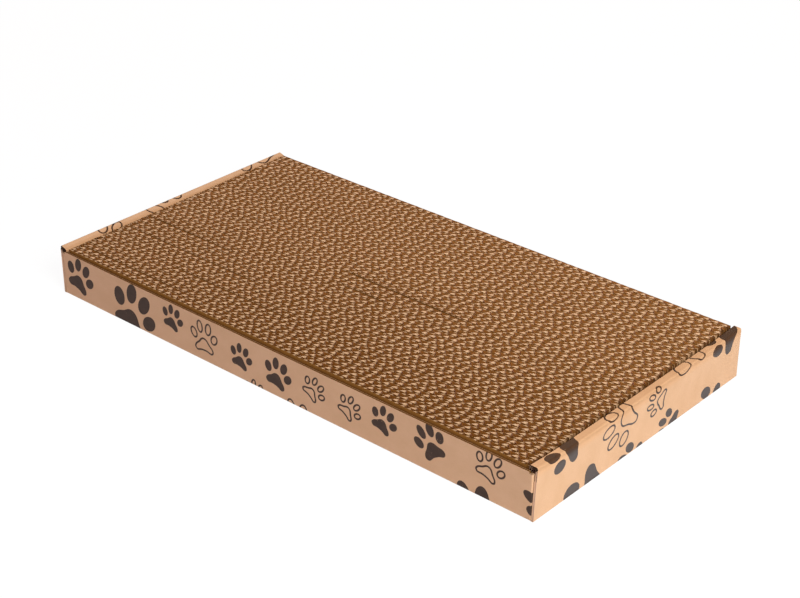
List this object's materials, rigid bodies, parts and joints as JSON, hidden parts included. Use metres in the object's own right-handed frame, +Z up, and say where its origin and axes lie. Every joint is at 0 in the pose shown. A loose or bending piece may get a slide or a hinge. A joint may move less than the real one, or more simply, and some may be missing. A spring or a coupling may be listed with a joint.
{
  "type": "cardboard cat scratcher",
  "caption": "Flat cardboard cat scratcher: a loose reversible pad of corrugated board strips on edge, lying in a shallow folded kraft tray with double roll-over ends.",
  "frame": {"origin": "centre of the tray's underside, on the surface that it lies on", "axes": "+X along the length, towards the right-hand end; +Y towards the back long wall; +Z up, out of the tray"},
  "size_m": [0.48, 0.2488, 0.042],
  "materials": {
    "kraft_tray": "matt kraft liner, printed outside",
    "corrugated_pad": "raw cut corrugated board"
  },
  "bodies": {
    "tray": {"base_panel": "kraft_tray", "front_wall": "kraft_tray", "back_wall": "kraft_tray", "front_left_flap": "kraft_tray", "front_right_flap": "kraft_tray", "back_left_flap": "kraft_tray", "back_right_flap": "kraft_tray", "left_end_wall": "kraft_tray", "right_end_wall": "kraft_tray", "left_end_rim": "kraft_tray", "right_end_rim": "kraft_tray", "left_inner_wall": "kraft_tray", "right_inner_wall": "kraft_tray"},
    "pad": {"strip_01": "corrugated_pad", "strip_02": "corrugated_pad", "strip_03": "corrugated_pad", "strip_04": "corrugated_pad", "strip_05": "corrugated_pad", "strip_06": "corrugated_pad", "strip_07": "corrugated_pad", "strip_08": "corrugated_pad", "strip_09": "corrugated_pad", "strip_10": "corrugated_pad", "strip_11": "corrugated_pad", "strip_12": "corrugated_pad", "strip_13": "corrugated_pad", "strip_14": "corrugated_pad", "strip_15": "corrugated_pad", "strip_16": "corrugated_pad", "strip_17": "corrugated_pad", "strip_18": "corrugated_pad", "strip_19": "corrugated_pad", "strip_20": "corrugated_pad", "strip_21": "corrugated_pad", "strip_22": "corrugated_pad", "strip_23": "corrugated_pad", "strip_24": "corrugated_pad", "strip_25": "corrugated_pad", "strip_26": "corrugated_pad", "strip_27": "corrugated_pad", "strip_28": "corrugated_pad", "strip_29": "corrugated_pad", "strip_30": "corrugated_pad", "strip_31": "corrugated_pad", "strip_32": "corrugated_pad", "strip_33": "corrugated_pad", "strip_34": "corrugated_pad", "strip_35": "corrugated_pad", "strip_36": "corrugated_pad", "strip_37": "corrugated_pad", "strip_38": "corrugated_pad", "strip_39": "corrugated_pad", "strip_40": "corrugated_pad", "strip_41": "corrugated_pad"}
  },
  "joints": [
    {"name": "pad_lift", "type": "slide", "parent": "tray", "child": "pad", "axis": [0, 0, 1], "range_m": [0, 0.05]}
  ]
}
